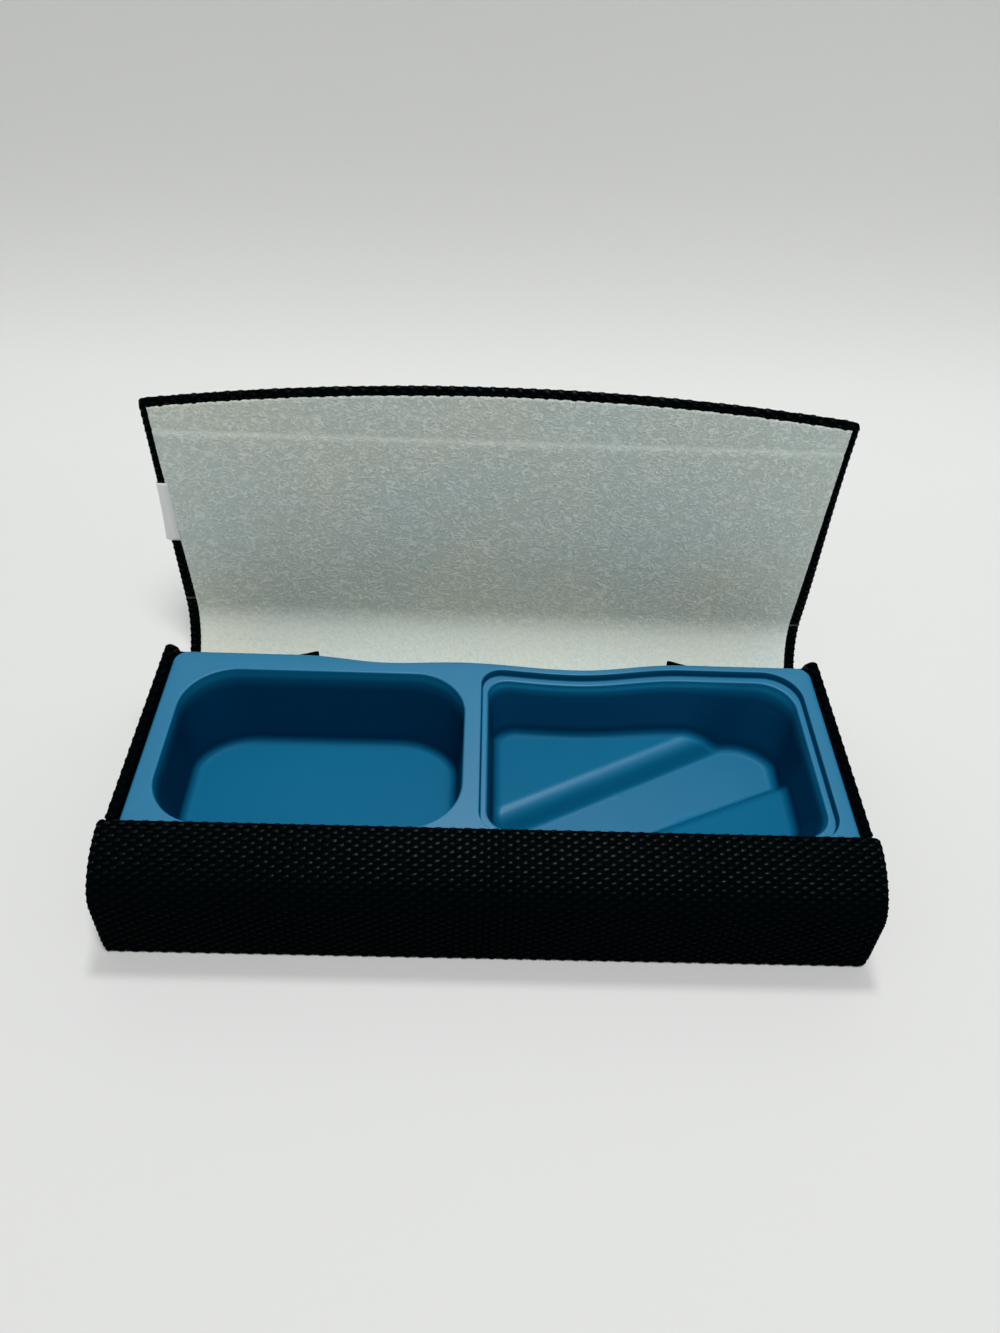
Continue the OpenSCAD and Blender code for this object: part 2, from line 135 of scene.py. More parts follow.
def makeSection():
    radius, bend, toe = wrap["frontRadius"], wrap["frontBend"], wrap["toeRound"]
    lipTurn = math.pi / 2 - math.asin(wrap["lipRun"] / radius)
    bendTurn = math.pi - math.radians(wrap["bendFrom"])
    faceTurn = math.pi - math.radians(wrap["faceLean"])
    bendY = rollY + (radius - bend) * math.cos(bendTurn)
    bendZ = rollZ + (radius - bend) * math.sin(bendTurn)
    faceY = bendY + bend * math.cos(faceTurn)
    faceZ = bendZ + bend * math.sin(faceTurn)
    footZ = toe + toe * math.sin(faceTurn)
    footY = faceY - (faceZ - footZ) * math.tan(math.radians(wrap["faceLean"]))
    toeY = footY - toe * math.cos(faceTurn)
    return [
        arcPiece((rollY, rollZ), radius, lipTurn, bendTurn),
        arcPiece((bendY, bendZ), bend, bendTurn, faceTurn),
        linePiece((faceY, faceZ), (footY, footZ)),
        arcPiece((toeY, toe), toe, faceTurn, 1.5 * math.pi),
        linePiece((toeY, 0), (hingeY, 0)),
        arcPiece((hingeY, backRadius), backRadius, -math.pi / 2, 0),
        linePiece((lidY, lidZ), (lidY, flapHigh.z)),
    ]


section = makeSection()
ends = [0]
for part in section:
    ends.append(ends[-1] + part["length"])
floorStart, foldA, foldB, sheetEnd = ends[4:]
foldC = foldB + flapZ - lidZ
print("section of the wrap:", [round(end / mm, 1) for end in ends])


def sectionAt(s):
    index = 0
    while index < len(section) - 1 and s > ends[index + 1]:
        index += 1
    part, run = section[index], s - ends[index]
    if "centre" in part:
        turn = part["start"] + run / part["radius"]
        out = Vector((0, math.cos(turn), math.sin(turn)))
        return Vector((0, *part["centre"])) + out * part["radius"], -out
    along = part["along"]
    point = part["from"] + along * run
    return Vector((0, point.x, point.y)), Vector((0, -along.y, along.x))


def smoothStep(low, high, value):
    t = min(max((value - low) / (high - low), 0), 1)
    return t * t * (3 - 2 * t)


def borderAt(s):
    return wrap["border"] + wrap["foldBorder"] * (1 - smoothStep(foldB - wrap["borderEase"], foldC, s))


def foldShare(s):  # 1 along the back strip, less towards the floor and the lid
    ease = wrap["foldEase"]
    return smoothStep(foldA - ease, foldA + ease, s) * (1 - smoothStep(foldB, foldC, s))


def halfWidthAt(s):
    ease = wrap["widthEase"]
    tuckFrom, tuckTo = (floorStart + run for run in wrap["tuckEase"])
    tuck = wrap["toeTuck"] * smoothStep(floorStart - wrap["tuckRun"], floorStart, s)
    tuck *= 1 - smoothStep(tuckFrom, tuckTo, s)
    wide = wrap["rollOver"] * (1 - smoothStep(floorStart, tuckFrom, s)) + wrap["foldWide"] * foldShare(s)
    return baseHalf + wide - tuck + (lidHalf - baseHalf) * smoothStep(foldA - ease, foldA + ease, s)


def sideShift(s):
    return wrap["foldShift"] * foldShare(s)


def crown(f):
    return math.sqrt(max(1 - weave["flatness"] * (2 * f - 1) ** 2, 0.01))


def weaveHeight(a, b):  # 0 to 1, with the long yarns along a
    across, along = a / weave["acrossPitch"], b / weave["alongPitch"]
    column, row = math.floor(across), math.floor(along)
    fa, fb = across - column, along - row
    sag = weave["sag"]
    if (column + row) % 2 == 0:
        return crown(fb + weave["twist"] * (fa - 0.5)) * (sag + (1 - sag) * math.sin(math.pi * fa) ** 0.45)
    return weave["warpShare"] * crown(fa) * (sag + (1 - sag) * math.sin(math.pi * fb))


def gridLines(low, high, step, roundLow=0, roundHigh=0):
    steps = wrap["edgeSteps"]
    turns = [math.pi / 2 * i / steps for i in range(steps + 1)]
    first = [low + roundLow * (1 - math.cos(t)) for t in turns] if roundLow else [low]
    last = [high - roundHigh * (1 - math.cos(t)) for t in reversed(turns)] if roundHigh else [high]
    count = math.ceil((first[-1] + step / 2) / step)
    inner = []
    while count * step < last[0] - step / 2:
        inner.append(count * step)
        count += 1
    return first + inner + last


def newObject(name, bm, material):
    mesh = bpy.data.meshes.new(name)
    for face in bm.faces:
        face.smooth = True
    bm.to_mesh(mesh)
    bm.free()
    made = bpy.data.objects.new(name, mesh)
    bpy.context.scene.collection.objects.link(made)
    mesh.materials.append(material)
    return made


def flatGrid(columns, rows):
    bm = bmesh.new()
    bmesh.ops.create_grid(bm, x_segments=columns - 1, y_segments=rows - 1, size=1)
    bm.verts.ensure_lookup_table()
    return bm


# Distance from a sheet's edge and the way out to it, with rounded corners
def edgeAt(sideGap, endGap, corner):
    if sideGap < corner and endGap < corner:
        reach = math.hypot(corner - sideGap, corner - endGap)
        if reach > 1e-9:
            return corner - reach, (corner - sideGap) / reach, (corner - endGap) / reach
    if sideGap < endGap:
        return sideGap, 1, 0
    return endGap, 0, 1


def cornerDrop(sideGap, corner):
    return corner - math.sqrt(max(corner**2 - max(corner - sideGap, 0) ** 2, 0))


def flapDrop(x):
    bowRadius = (lidHalf**2 + wrap["flapBow"] ** 2) / (2 * wrap["flapBow"])
    return bowRadius - math.sqrt(bowRadius**2 - x**2)


def edgeRound(d):
    near = max(halfSheet - max(d, 0), 0)
    return math.sqrt(halfSheet**2 - near**2)


# A woven sheet over the section's stretch of rows, its hems turned over behind
def hemNick(s, x):  # a nick in the turned hem at each end of the fold shows what lies under it
    place = foldB + (wrap["nicks"][0] if x < 0 else wrap["nicks"][1])
    return math.exp(-(((s - place) / wrap["nickWidth"]) ** 2))


def wovenSheet(name, rows, lipEnd=False, flapEnd=False):
    columns = gridLines(-baseHalf, baseHalf, weave["acrossPitch"] / weave["perCell"], halfSheet, halfSheet)
    bm = flatGrid(len(columns), len(rows))
    relief = bm.verts.layers.float.new("relief")
    gloss = bm.verts.layers.float.new("gloss")
    nick = bm.verts.layers.float.new("nick")
    corner = wrap["cornerRound"]
    under, distance = [], []
    for vert in bm.verts:
        s, x = rows[vert.index // len(columns)], columns[vert.index % len(columns)]
        half = halfWidthAt(s)
        x *= half / baseHalf
        sideGap, endGap, endWay = half - abs(x), 1, 1
        if lipEnd:
            s += cornerDrop(sideGap, corner) * max(1 - s / wrap["lipFade"], 0)
            endGap, endWay = s, -1
        if flapEnd:
            drop = cornerDrop(sideGap, corner) + flapDrop(x)
            s -= drop * smoothStep(foldC, sheetEnd, s) if s < sheetEnd else drop
            endGap = sheetEnd - flapDrop(x) - s
        d, sideShare, endShare = edgeAt(sideGap, endGap, corner)
        point, inward = sectionAt(s)
        along = Vector((0, inward.z, -inward.y))
        point.x = x + sideShift(s)
        rise = edgeRound(d)
        outShare = max(1 - max(d, 0) / halfSheet, 0)
        sideways = Vector((math.copysign(sideShare, x), 0, 0)) + along * endShare * endWay
        height = weaveHeight(x, s)
        sink = (1 - height) * weave["depth"]
        middle = point + inward * halfSheet
        outward = inward * (-rise / halfSheet) + sideways * outShare
        behind = inward * (rise / halfSheet) + sideways * outShare
        vert.co = middle - inward * rise - outward * sink
        under.append(middle + inward * rise - behind * sink)
        distance.append(d)
        vert[relief] = height
        # painted highlight: the gloss attribute lets the cloth glint only where it faces up towards the
        # lamp, and more evenly from the back strip up over the lid
        paintedGlint = smoothStep(*weave["paintedGlint"], -inward.z)
        paintedGlint = max(paintedGlint, weave["backGloss"] * smoothStep(foldA, foldA + wrap["foldEase"], s))
        vert[gloss] = weave["matt"] + (1 - weave["matt"]) * paintedGlint
    hemFaces = [f for f in bm.faces if all(distance[v.index] <= wrap["hem"] for v in f.verts)]
    bmesh.ops.reverse_faces(bm, faces=bm.faces)
    copied = bmesh.ops.duplicate(bm, geom=hemFaces)
    copies = {old: new for old, new in copied["vert_map"].items() if old.index >= 0}
    for old, new in copies.items():
        if 0 <= old.index < len(under):
            new.co = under[old.index]
            new[nick] = hemNick(rows[old.index // len(columns)], old.co.x)
    bmesh.ops.reverse_faces(bm, faces=[g for g in copied["geom"] if isinstance(g, bmesh.types.BMFace)])
    bmesh.ops.remove_doubles(bm, verts=bm.verts, dist=wrap["merge"])
    made = newObject(name, bm, coverCloth)
    print(name, len(made.data.polygons), "faces")
    return made


# Materials
def nodeMaterial(name, **sockets):
    material = bpy.data.materials.new(name)
    material.use_nodes = True
    shader = material.node_tree.nodes["Principled BSDF"]
    for socket, value in sockets.items():
        shader.inputs[socket.replace("_", " ")].default_value = value
    return material, material.node_tree, shader


def addNode(tree, kind, **settings):
    node = tree.nodes.new(kind)
    for key, value in settings.items():
        if key in node.inputs:
            node.inputs[key].default_value = value
        else:
            setattr(node, key, value)
    return node


def objectNoise(tree, scale, detail=4, rough=0.6, distortion=0.0):
    place = addNode(tree, "ShaderNodeTexCoord")
    grain = addNode(tree, "ShaderNodeTexNoise", Scale=scale, Detail=detail, Roughness=rough)
    grain.inputs["Distortion"].default_value = distortion
    tree.links.new(place.outputs["Object"], grain.inputs["Vector"])
    return grain


def ramp(tree, source, stops):
    node = addNode(tree, "ShaderNodeValToRGB")
    band = node.color_ramp
    while len(band.elements) < len(stops):
        band.elements.new(0.5)
    for element, (place, colour) in zip(band.elements, stops):
        element.position = place
        element.color = (*colour, 1)
    tree.links.new(source, node.inputs["Fac"])
    return node


def makeCoverCloth():
    material, tree, shader = nodeMaterial("coverCloth", Roughness=0.27)
    height = addNode(tree, "ShaderNodeAttribute", attribute_name="relief")
    paintedGlint = addNode(tree, "ShaderNodeAttribute", attribute_name="gloss")
    grain = objectNoise(tree, 2600)
    uneven = objectNoise(tree, 900, 1, 0.5)
    # painted shade: the base colour is darker in the weave's valleys than on the yarn tops
    dark, light = (0.0006, 0.0016, 0.0018), (0.0015, 0.0034, 0.0038)
    shade = ramp(tree, height.outputs["Fac"], [(0.3, dark), (0.95, light)])
    nick = addNode(tree, "ShaderNodeAttribute", attribute_name="nick")
    bare = addNode(tree, "ShaderNodeMixRGB", blend_type="MIX", Color2=(0.11, 0.115, 0.11, 1))
    tree.links.new(nick.outputs["Fac"], bare.inputs["Fac"])
    tree.links.new(shade.outputs["Color"], bare.inputs["Color1"])
    tree.links.new(bare.outputs["Color"], shader.inputs["Base Color"])
    # painted highlight: reflection kept to the yarn tops, made patchy, and scaled by the gloss attribute's
    # painted glint mask
    shine = ramp(tree, height.outputs["Fac"], [(0.6, (0.002,) * 3), (0.9, (0.11,) * 3)])
    patchy = ramp(tree, uneven.outputs["Fac"], [(0.36, (0.25,) * 3), (0.62, (1.0,) * 3)])
    paintedLightScale = addNode(tree, "ShaderNodeMixRGB", blend_type="MULTIPLY", Fac=1.0)
    tree.links.new(shine.outputs["Color"], paintedLightScale.inputs["Color1"])
    tree.links.new(patchy.outputs["Color"], paintedLightScale.inputs["Color2"])
    level = addNode(tree, "ShaderNodeMath", operation="MULTIPLY")
    tree.links.new(paintedLightScale.outputs["Color"], level.inputs[0])
    tree.links.new(paintedGlint.outputs["Fac"], level.inputs[1])
    tree.links.new(level.outputs["Value"], shader.inputs["Specular IOR Level"])
    gloss = ramp(tree, grain.outputs["Fac"], [(0.25, (0.22,) * 3), (0.75, (0.36,) * 3)])
    tree.links.new(gloss.outputs["Color"], shader.inputs["Roughness"])
    bump = addNode(tree, "ShaderNodeBump", Strength=0.25, Distance=0.05 * mm)
    tree.links.new(grain.outputs["Fac"], bump.inputs["Height"])
    tree.links.new(bump.outputs["Normal"], shader.inputs["Normal"])
    return material


def makeSuede():
    material, tree, shader = nodeMaterial("greySuede", Roughness=0.95, Specular_IOR_Level=0.1)
    curls = objectNoise(tree, 460, 2, 0.5, 1.5)
    fuzz = objectNoise(tree, 1500, 3, 0.6, 0.5)
    patches = objectNoise(tree, 42, 3, 0.55)
    strand = ramp(tree, curls.outputs["Fac"], [(0.43, (0.0,) * 3), (0.5, (1.0,) * 3), (0.57, (0.0,) * 3)])
    fine = ramp(tree, fuzz.outputs["Fac"], [(0.3, (0.0,) * 3), (0.7, (1.0,) * 3)])
    # painted light: the 'pale' attribute lifts the lining's colour and flattens its fibres over the hinge,
    # which faces up to the lamp, with a painted highlight along the crease
    paintedLightShare = addNode(tree, "ShaderNodeAttribute", attribute_name="pale")
    flat = addNode(tree, "ShaderNodeMixRGB", blend_type="MIX", Color2=(0.45, 0.45, 0.45, 1))
    tree.links.new(paintedLightShare.outputs["Fac"], flat.inputs["Fac"])
    tree.links.new(strand.outputs["Color"], flat.inputs["Color1"])
    nap = addNode(tree, "ShaderNodeMixRGB", blend_type="MIX", Fac=0.35)
    tree.links.new(flat.outputs["Color"], nap.inputs["Color1"])
    tree.links.new(fine.outputs["Color"], nap.inputs["Color2"])
    tone = ramp(tree, nap.outputs["Color"], [(0.0, (0.58, 0.64, 0.59)), (1.0, (0.93, 0.97, 0.92))])
    tint = ramp(tree, patches.outputs["Fac"], [(0.35, (0.93, 0.99, 1.0)), (0.65, (1.0, 1.0, 0.95))])
    mix = addNode(tree, "ShaderNodeMixRGB", blend_type="MULTIPLY", Fac=1.0)
    tree.links.new(tone.outputs["Color"], mix.inputs["Color1"])
    tree.links.new(tint.outputs["Color"], mix.inputs["Color2"])
    # painted light: the colour is lifted by up to a quarter where the 'pale' attribute is full
    paintedLightScale = addNode(tree, "ShaderNodeMixRGB", blend_type="MULTIPLY", Color2=(1.24, 1.23, 1.22, 1))
    tree.links.new(paintedLightShare.outputs["Fac"], paintedLightScale.inputs["Fac"])
    tree.links.new(mix.outputs["Color"], paintedLightScale.inputs["Color1"])
    tree.links.new(paintedLightScale.outputs["Color"], shader.inputs["Base Color"])
    bump = addNode(tree, "ShaderNodeBump", Strength=0.6, Distance=0.2 * mm)
    tree.links.new(nap.outputs["Color"], bump.inputs["Height"])
    tree.links.new(bump.outputs["Normal"], shader.inputs["Normal"])
    return material


def makeTrayPlastic():
    material, tree, shader = nodeMaterial("trayPlastic", Roughness=0.42, Specular_IOR_Level=0.45)
    cloud = objectNoise(tree, 30, 2, 0.5)
    texture = objectNoise(tree, 5200, 2, 0.5)
    tone = ramp(tree, cloud.outputs["Fac"], [(0.3, (0.003, 0.165, 0.325)), (0.7, (0.004, 0.175, 0.342))])
    # painted shade: the 'shadow' attribute darkens the pocket walls, floors, trough slopes and the ledge's
    # step
    depth = addNode(tree, "ShaderNodeAttribute", attribute_name="shadow")
    shade = ramp(tree, depth.outputs["Fac"], [(0.0, (1.0, 1.0, 1.0)), (1.0, (0.05, 0.2, 0.27))])
    mix = addNode(tree, "ShaderNodeMixRGB", blend_type="MULTIPLY", Fac=1.0)
    tree.links.new(tone.outputs["Color"], mix.inputs["Color1"])
    tree.links.new(shade.outputs["Color"], mix.inputs["Color2"])
    tree.links.new(mix.outputs["Color"], shader.inputs["Base Color"])
    gloss = ramp(tree, texture.outputs["Fac"], [(0.3, (0.38,) * 3), (0.7, (0.48,) * 3)])
    tree.links.new(gloss.outputs["Color"], shader.inputs["Roughness"])
    # painted sheen: strong specular where the 'shadow' attribute is 0, on flanges and crests, little in the
    # painted shade
    sheen = ramp(tree, depth.outputs["Fac"], [(0.0, (0.6,) * 3), (0.25, (0.07,) * 3), (0.6, (0.02,) * 3)])
    tree.links.new(sheen.outputs["Color"], shader.inputs["Specular IOR Level"])
    bump = addNode(tree, "ShaderNodeBump", Strength=0.06, Distance=0.03 * mm)
    tree.links.new(texture.outputs["Fac"], bump.inputs["Height"])
    tree.links.new(bump.outputs["Normal"], shader.inputs["Normal"])
    return material


def makeRibbon():
    material, tree, shader = nodeMaterial("tagRibbon", Roughness=0.75, Specular_IOR_Level=0.25)
    place = addNode(tree, "ShaderNodeTexCoord")
    ribs = addNode(tree, "ShaderNodeTexWave", Scale=900, Distortion=1.0, bands_direction="Z")
    tree.links.new(place.outputs["Object"], ribs.inputs["Vector"])
    tone = ramp(tree, ribs.outputs["Fac"], [(0.0, (0.92, 0.93, 0.91)), (1.0, (0.97, 0.98, 0.96))])
    tree.links.new(tone.outputs["Color"], shader.inputs["Base Color"])
    bump = addNode(tree, "ShaderNodeBump", Strength=0.3, Distance=0.05 * mm)
    tree.links.new(ribs.outputs["Fac"], bump.inputs["Height"])
    tree.links.new(bump.outputs["Normal"], shader.inputs["Normal"])
    return material


def makeBoard():
    material, tree, shader = nodeMaterial("fibreBoard", Roughness=0.85)
    grain = objectNoise(tree, 900, 5, 0.7)
    tone = ramp(tree, grain.outputs["Fac"], [(0.3, (0.3, 0.25, 0.18)), (0.7, (0.44, 0.38, 0.29))])
    tree.links.new(tone.outputs["Color"], shader.inputs["Base Color"])
    return material


def makeMetal(name, colour, rough):
    material, tree, shader = nodeMaterial(name, Metallic=1.0)
    grain = objectNoise(tree, 400, 3, 0.5)
    tone = ramp(tree, grain.outputs["Fac"], [(0.3, tuple(0.9 * c for c in colour)), (0.7, colour)])
    tree.links.new(tone.outputs["Color"], shader.inputs["Base Color"])
    gloss = ramp(tree, grain.outputs["Fac"], [(0.3, (rough,) * 3), (0.7, (rough + 0.12,) * 3)])
    tree.links.new(gloss.outputs["Color"], shader.inputs["Roughness"])
    return material


coverCloth = makeCoverCloth()
greySuede = makeSuede()
trayPlastic = makeTrayPlastic()
tagRibbon = makeRibbon()
fibreBoard = makeBoard()
catchSteel = makeMetal("catchSteel", (0.55, 0.56, 0.58), 0.3)
magnetNickel = makeMetal("magnetNickel", (0.66, 0.65, 0.62), 0.18)
print("materials made")

# Hidden boards, plates and magnets that no piece below replaces stay as they are inside the wrap
finishes = {"catch_plates": catchSteel, "flap_magnets": magnetNickel}
for nodeName, node in frame["nodes"].items():
    node.data.materials.clear()
    node.data.materials.append(finishes.get(nodeName, fibreBoard))

# Woven cover: four stretches of one sheet, parted between yarns away from the folds
fineStep = weave["alongPitch"] / weave["perCell"]
coarseStep = weave["alongPitch"] / weave["coarsePerCell"]


def betweenYarns(s):
    return round(s / weave["alongPitch"]) * weave["alongPitch"]


seams = {"floor": 15 * mm, "fine": 5 * mm, "coverTurn": 40}  # past the toe, before and past the first fold
seams.update({"suedeFine": 4 * mm, "suedeTurn": 24, "upper": 8 * mm})
floorSeam = betweenYarns(floorStart + seams["floor"])
backFine = betweenYarns(foldA - seams["fine"])
backSeam = betweenYarns(foldA + backRadius * math.radians(seams["coverTurn"]))
lidSeam = betweenYarns((foldB + foldC) / 2)

frontWrap = wovenSheet(
    "front_wrap",
    gridLines(0, floorStart, fineStep, roundLow=halfSheet)
    + gridLines(floorStart, floorSeam, coarseStep)[1:],
    lipEnd=True,
)
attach(frontWrap, "base")
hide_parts("base_cover", "base_board")
rearWrap = wovenSheet(
    "rear_wrap", gridLines(floorSeam, backFine, coarseStep) + gridLines(backFine, backSeam, fineStep)[1:]
)
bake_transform(rearWrap)
spineWrap = wovenSheet("spine_wrap", gridLines(backSeam, lidSeam, fineStep))
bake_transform(spineWrap)
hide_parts("back_cover")
lidWrap = wovenSheet("lid_wrap", gridLines(lidSeam, sheetEnd, fineStep, roundHigh=halfSheet), flapEnd=True)
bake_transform(lidWrap)
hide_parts("lid_cover", "flap_cover")

# Suede lining: one sheet inside the wrap, its edges laid over the hems
suede = {"proud": 0.1 * mm, "tuck": 0.3 * mm, "edge": 0.4 * mm, "step": 0.45 * mm, "coarse": 1.5 * mm}
suede.update({"nap": 0.05 * mm, "napSize": 1.5 * mm, "crease": 0.09 * mm, "creaseWidth": 0.7 * mm})
# painted light: its strength along the crease, and where the lighter lining fades out around the foot of the
# lid
suede.update({"creasePale": 0.6, "paleBelow": 9 * mm, "paleAbove": 1 * mm})


def suedeSheet(name, rows, columnStep, flapEnd=False, lipEnd=False):
    edge = suede["edge"]
    half = baseHalf - wrap["border"]
    columns = gridLines(-half, half, columnStep, edge, edge)
    bm = flatGrid(len(columns), len(rows))
    pale = bm.verts.layers.float.new("pale")
    for vert in bm.verts:
        s, x = rows[vert.index // len(columns)], columns[vert.index % len(columns)]
        crease = math.exp(-(((s - foldC) / suede["creaseWidth"]) ** 2))
        # painted light: full over the floor and most of the back strip's curve, fading out at the foot of
        # the lid; a painted highlight along the crease
        paintedLightShare = 1 - smoothStep(foldB - suede["paleBelow"], foldB + suede["paleAbove"], s)
        vert[pale] = max(paintedLightShare, suede["creasePale"] * crease)
        width = halfWidthAt(s) - borderAt(s)
        x *= width / half
        sideGap, endGap = width - abs(x), 1
        if lipEnd:
            endGap = s - rows[0]
        if flapEnd:
            s -= flapDrop(x) * smoothStep(foldC, rows[-1], s)
            endGap = rows[-1] - flapDrop(x) - s
        d = max(min(sideGap, endGap), 0)
        point, inward = sectionAt(s)
        point.x = x + sideShift(s)
        lift = suede["proud"] - suede["tuck"] * max(1 - d / edge, 0) ** 2
        lift += noise.noise(Vector((x, s, 0)) / suede["napSize"]) * suede["nap"]
        lift -= suede["crease"] * crease
        vert.co = point + inward * (wrap["thickness"] + lift)
    made = newObject(name, bm, greySuede)
    print(name, len(made.data.polygons), "faces")
    return made


suedeSeam = foldA + backRadius * math.radians(seams["suedeTurn"])
upperSeam = foldC - seams["upper"]
suedeStart = wrap["border"]
suedeEnd = sheetEnd - wrap["border"]
suedeFine = foldA - seams["suedeFine"]
baseSuede = suedeSheet(
    "base_suede",
    gridLines(suedeStart, suedeFine, suede["coarse"]) + gridLines(suedeFine, suedeSeam, suede["step"])[1:],
    suede["coarse"],
    lipEnd=True,
)
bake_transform(baseSuede)
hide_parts("base_lining", "back_lining")
lidSuede = suedeSheet("lid_suede", gridLines(suedeSeam, upperSeam, suede["step"]), suede["step"])
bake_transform(lidSuede)
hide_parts("lid_lining")
flapSuede = suedeSheet(
    "flap_suede",
    gridLines(upperSeam, suedeEnd, suede["step"], roundHigh=suede["edge"]),
    suede["step"],
    flapEnd=True,
)
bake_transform(flapSuede)
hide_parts("flap_lining")

# End panels: woven sleeves with round edges, each with a glued flap behind the tray
endPanel = {
    "thickness": 1.9 * mm,
    "frontGap": 0.05 * mm,  # room inside the roll
    "lipGap": 0.12 * mm,
    "frontSharp": 4,  # how much less round the edge against the roll is
    "topDrop": 0.1 * mm,  # below the top of the roll
    "tipRadius": 2.0 * mm,
    "rearRadius": 15.307 * mm,
    "rearCentre": (11.042 * mm, 10.52 * mm),
    "span": 66 * mm,  # columns are laid out over this length and drawn to the outline
    "flapThickness": 0.5 * mm,
    "flapOverlap": 0.3 * mm,  # into the panel
    "flapRear": 22.6 * mm,
    "flapTop": 18.6 * mm,
    "flapCurl": 5 * mm,  # the free end of the flap bends away from the tray
    "curlOut": 0.9 * mm,
    "curlUp": 0.4 * mm,
}


def endPanelEdges(z):
    top = baseHigh.z - endPanel["topDrop"]
    radius = wrap["frontRadius"] - wrap["thickness"] - endPanel["frontGap"]
    front = lipY + endPanel["lipGap"]
    if z < rollZ + radius:
        front = min(front, rollY - math.sqrt(radius**2 - (z - rollZ) ** 2))
    bendY, bendZ = section[1]["centre"]
    bend = section[1]["radius"] - wrap["thickness"] - endPanel["frontGap"]
    if z < bendZ:
        front = max(front, bendY - bend - (bendZ - z) * math.tan(math.radians(wrap["faceLean"])))
    elif z < bendZ + bend * math.sin(math.radians(wrap["bendFrom"])):
        front = max(front, bendY - math.sqrt(bend**2 - (z - bendZ) ** 2))
    rearY, rearZ = endPanel["rearCentre"]
    tip, big = endPanel["tipRadius"], endPanel["rearRadius"]
    tipZ = top - tip
    tipY = rearY + math.sqrt((big - tip) ** 2 - (tipZ - rearZ) ** 2)
    touchZ = rearZ + (tipZ - rearZ) * big / (big - tip)
    if z > touchZ:
        rear = tipY + math.sqrt(max(tip**2 - (z - tipZ) ** 2, 0))
    else:
        rear = rearY + math.sqrt(big**2 - (z - rearZ) ** 2)
    return front, rear, tipY, tipZ


def pillow(d, half):
    near = max(half - max(d, 0), 0)
    return math.sqrt(half**2 - near**2)


def endPanelShape():
    half, top = endPanel["thickness"] / 2, baseHigh.z - endPanel["topDrop"]
    middleX = endHigh.x - half
    rows = gridLines(wrap["thickness"], top, fineStep, roundHigh=half)
    span = endPanel["span"]
    columns = gridLines(0, span, weave["acrossPitch"] / weave["perCell"], half, half)
    made = flatGrid(len(columns), len(rows))
    layer = made.verts.layers.float.new("relief")
    gloss = made.verts.layers.float.new("gloss")
    for vert in made.verts:
        z, u = rows[vert.index // len(columns)], columns[vert.index % len(columns)]
        front, rear, tipY, tipZ = endPanelEdges(z)
        if u < half:
            y = front + u
        elif u > span - half:
            y = rear - (span - u)
        else:
            y = front + half + (u - half) / (span - 2 * half) * (rear - front - 2 * half)
        rearY, rearZ = endPanel["rearCentre"]
        if z > tipZ and y > tipY:
            d = endPanel["tipRadius"] - math.hypot(y - tipY, z - tipZ)
        else:
            rearGap = endPanel["rearRadius"] - math.hypot(y - rearY, z - rearZ) if y > rearY else 1
            d = min(top - z, rearGap, (y - front) * endPanel["frontSharp"])
        height = weaveHeight(y, z)
        rise = pillow(d, half)
        sink = min((1 - height) * weave["depth"], rise * 0.5)
        vert.co = Vector((middleX + rise - sink, y, z))
        vert[layer] = height
        vert[gloss] = weave["sleeveGloss"]
    bmesh.ops.reverse_faces(made, faces=made.faces)
    copied = bmesh.ops.duplicate(made, geom=list(made.faces))
    newVerts = [g for g in copied["geom"] if isinstance(g, bmesh.types.BMVert)]
    for vert in newVerts:
        vert.co.x = 2 * middleX - vert.co.x
    bmesh.ops.reverse_faces(made, faces=[g for g in copied["geom"] if isinstance(g, bmesh.types.BMFace)])
    bmesh.ops.remove_doubles(made, verts=made.verts, dist=wrap["merge"])
    bmesh.ops.recalc_face_normals(made, faces=made.faces)
    return made


def gluedFlap(bm):
    half = endPanel["flapThickness"] / 2
    middleY = endPanel["flapRear"] - half
    inner = endHigh.x - endPanel["thickness"] + endPanel["flapOverlap"]
    columns = gridLines(endLow.x, inner, weave["acrossPitch"] / weave["perCell"], half, 0)
    rows = gridLines(wrap["thickness"], endPanel["flapTop"], fineStep, 0, half)
    for face in (1, -1):
        strip = flatGrid(len(columns), len(rows))
        layer = strip.verts.layers.float.new("relief")
        gloss = strip.verts.layers.float.new("gloss")
        for vert in strip.verts:
            z, x = rows[vert.index // len(columns)], columns[vert.index % len(columns)]
            d = min(x - endLow.x, endPanel["flapTop"] - z)
            height = weaveHeight(x, z)
            rise = pillow(d, half)
            rise -= min((1 - height) * weave["depth"] * 0.5, rise * 0.5)
            curl = (1 - smoothStep(endLow.x, endLow.x + endPanel["flapCurl"], x)) * z / endPanel["flapTop"]
            y = middleY + curl * endPanel["curlOut"] + face * rise
            vert.co = Vector((x, y, z + curl * endPanel["curlUp"]))
            vert[layer] = height
            vert[gloss] = weave["sleeveGloss"]
        if face > 0:
            bmesh.ops.reverse_faces(strip, faces=strip.faces)
        held = bpy.data.meshes.new("strip")
        strip.to_mesh(held)
        strip.free()
        bm.from_mesh(held)
        bpy.data.meshes.remove(held)
    bmesh.ops.remove_doubles(bm, verts=bm.verts, dist=wrap["merge"])


for side, mirrored in (("right", 1), ("left", -1)):
    bm = endPanelShape()
    gluedFlap(bm)
    if mirrored < 0:
        bmesh.ops.scale(bm, vec=(-1, 1, 1), verts=bm.verts)
        bmesh.ops.reverse_faces(bm, faces=bm.faces)
    sleeve = newObject(side + "_end_sleeve", bm, coverCloth)
    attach(sleeve, "base")
    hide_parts(side + "_end_cover", side + "_end_board")
    print(sleeve.name, len(sleeve.data.polygons), "faces")

